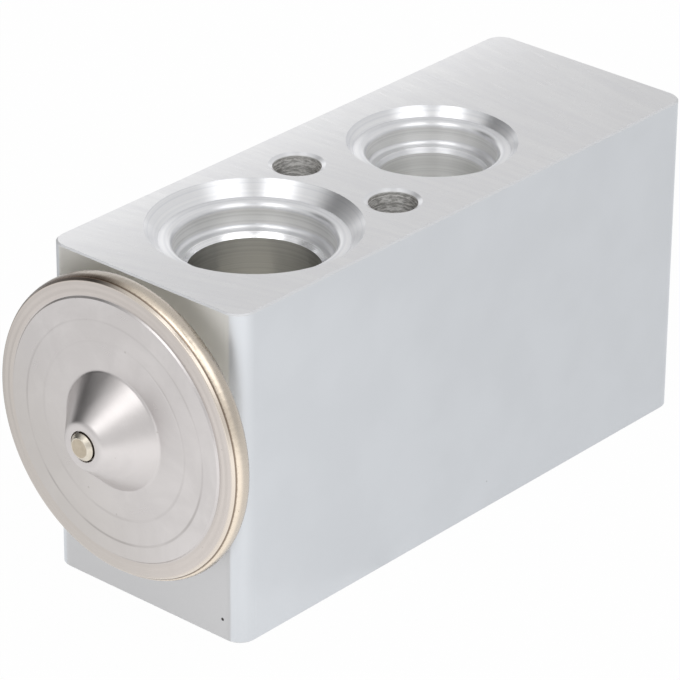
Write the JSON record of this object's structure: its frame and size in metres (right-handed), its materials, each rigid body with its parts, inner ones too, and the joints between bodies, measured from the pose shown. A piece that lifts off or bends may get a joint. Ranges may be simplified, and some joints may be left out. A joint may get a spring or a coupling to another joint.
{
  "type": "thermostatic expansion valve",
  "caption": "Block-type refrigerant expansion valve with flared pipe ports, drilled fixing holes and a round diaphragm head on one end.",
  "frame": {"origin": "centre of the block's base port face", "axes": "+X along the block from the diaphragm head to the adjusting screw, +Z out of the top port face"},
  "size_m": [0.0864, 0.0356, 0.0413],
  "materials": {
    "block_aluminium": "satin extruded sides, fly-cut port faces",
    "head_steel": "pressed stainless sheet, satin",
    "weld_steel": "heat-tinted weld bead",
    "plug_steel": "dull turned steel",
    "diaphragm_steel": "thin cold-rolled stainless sheet",
    "seal_rubber": "smooth moulded rubber",
    "stem_aluminium": "turned",
    "sleeve_plastic": "natural moulded plastic",
    "rod_steel": "ground",
    "ball_steel": "polished ball",
    "carrier_brass": "turned",
    "spring_steel": "drawn wire",
    "screw_brass": "turned and threaded"
  },
  "bodies": {
    "valve_body": {"valve_block": "block_aluminium", "head_lower_cover": "head_steel", "head_upper_cover": "head_steel", "head_rim_weld": "weld_steel", "diaphragm": "diaphragm_steel", "charge_plug": "plug_steel", "head_seal_ring": "seal_rubber", "rod_seal_ring": "seal_rubber", "rod_seal_retainer": "spring_steel"},
    "valve_train": {"diaphragm_pad": "carrier_brass", "sensing_stem": "stem_aluminium", "stem_sleeve": "sleeve_plastic", "push_rod": "rod_steel", "valve_ball": "ball_steel", "ball_carrier": "carrier_brass", "damper_spring": "spring_steel", "superheat_spring": "spring_steel"},
    "adjuster_seal": {"adjusting_screw_seal_ring": "seal_rubber"},
    "adjuster_screw": {"adjusting_screw": "screw_brass"}
  },
  "joints": [
    {"name": "valve_stroke", "type": "slide", "parent": "valve_body", "child": "valve_train", "axis": [1, 0, 0], "range_m": [0, 0.0008], "stiffness_N_per_m": 200, "springref_m": -0.001, "deforming": ["superheat_spring", "diaphragm"]},
    {"name": "adjuster_feed", "type": "slide", "parent": "valve_body", "child": "adjuster_seal", "axis": [-1, 0, 0], "range_m": [-0.0005, 0.001], "deforming": ["superheat_spring"]},
    {"name": "adjuster_turn", "type": "hinge", "parent": "adjuster_seal", "child": "adjuster_screw", "pos_m": [0.02809, 0, 0.0235], "axis": [-1, 0, 0], "range_deg": [-180.5, 360.5]}
  ],
  "couplings": [
    {"joint": "adjuster_turn", "follows": "adjuster_feed", "rad_per_m": 6283.2}
  ]
}
